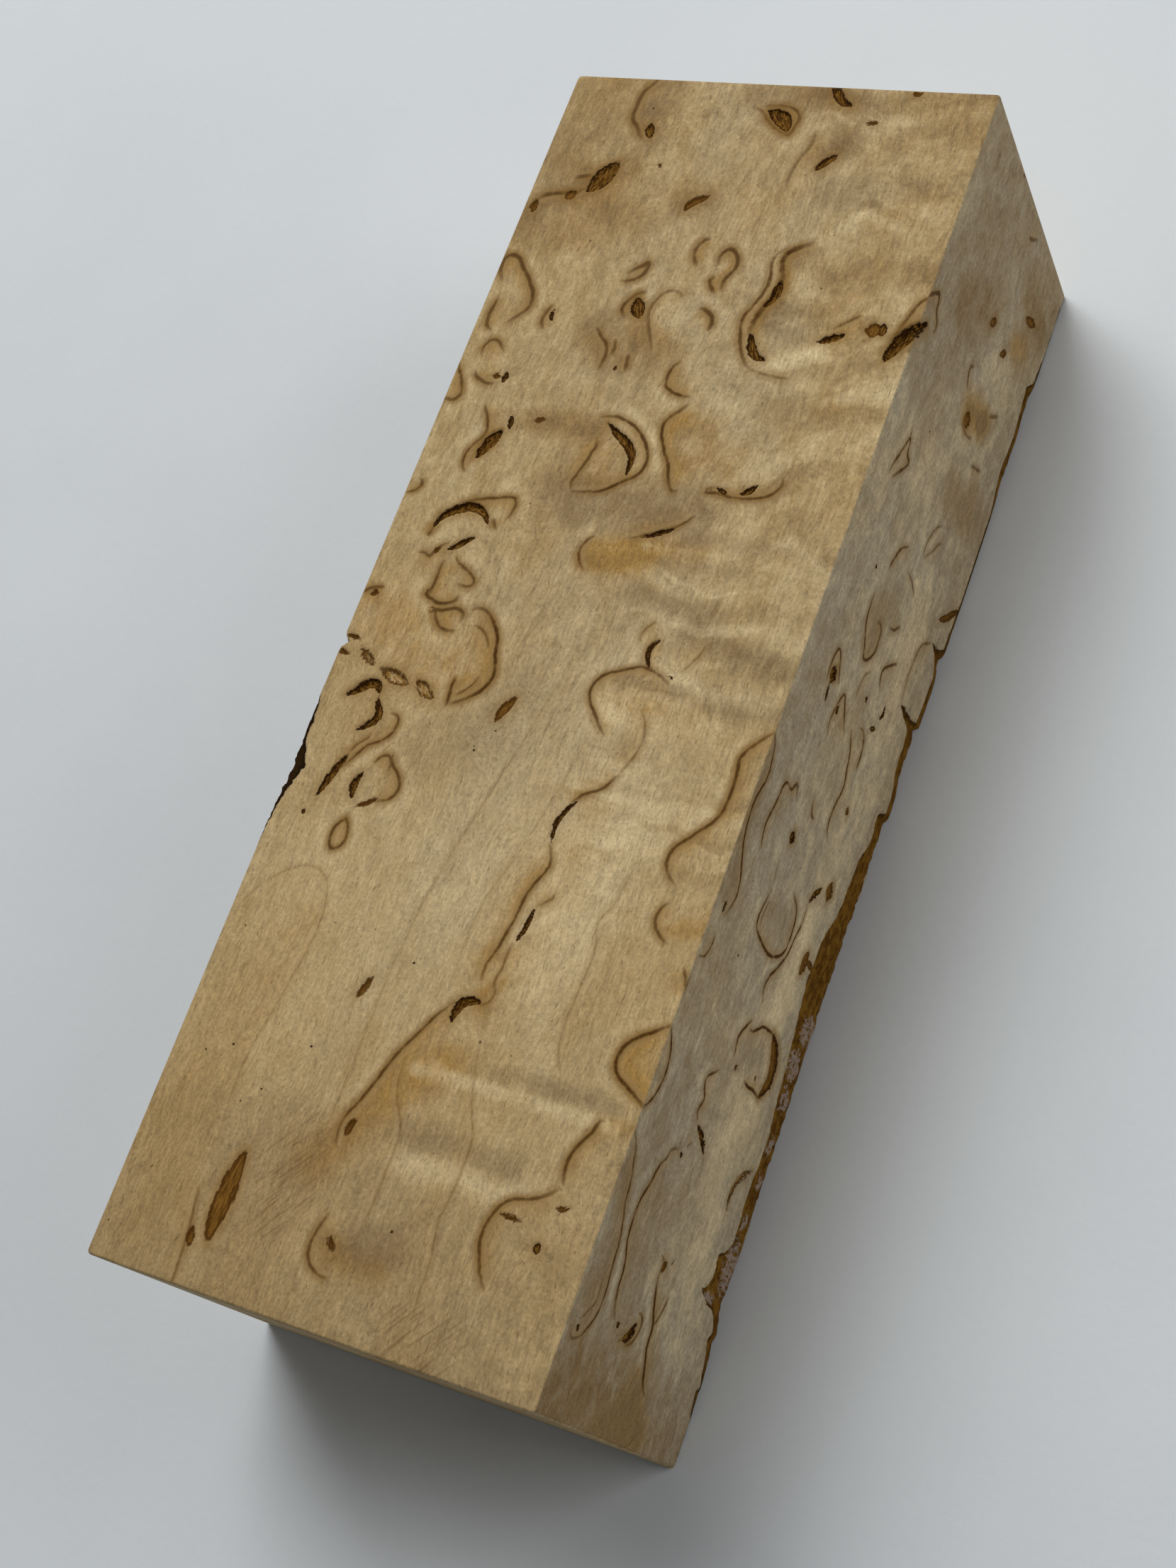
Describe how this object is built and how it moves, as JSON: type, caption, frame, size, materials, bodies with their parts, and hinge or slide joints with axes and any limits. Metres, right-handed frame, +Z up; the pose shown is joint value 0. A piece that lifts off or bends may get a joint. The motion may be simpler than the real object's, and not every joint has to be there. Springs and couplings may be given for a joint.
{
  "type": "masur birch block",
  "caption": "Sawn rectangular block of figured masur birch for small turned or carved work, with a strip of bark along one lower edge.",
  "frame": {"origin": "centre of the underside, the sawn face that the block lies on", "axes": "+X along the block and its grain, away from the nearer end in the picture; +Y out of the long face without bark; +Z up out of the top face"},
  "size_m": [0.125, 0.045, 0.032],
  "materials": {
    "birch": "dry sanded wood with brown figure and rough bark along one edge"
  },
  "bodies": {
    "root": {"masur_birch_block": "birch"}
  },
  "joints": []
}
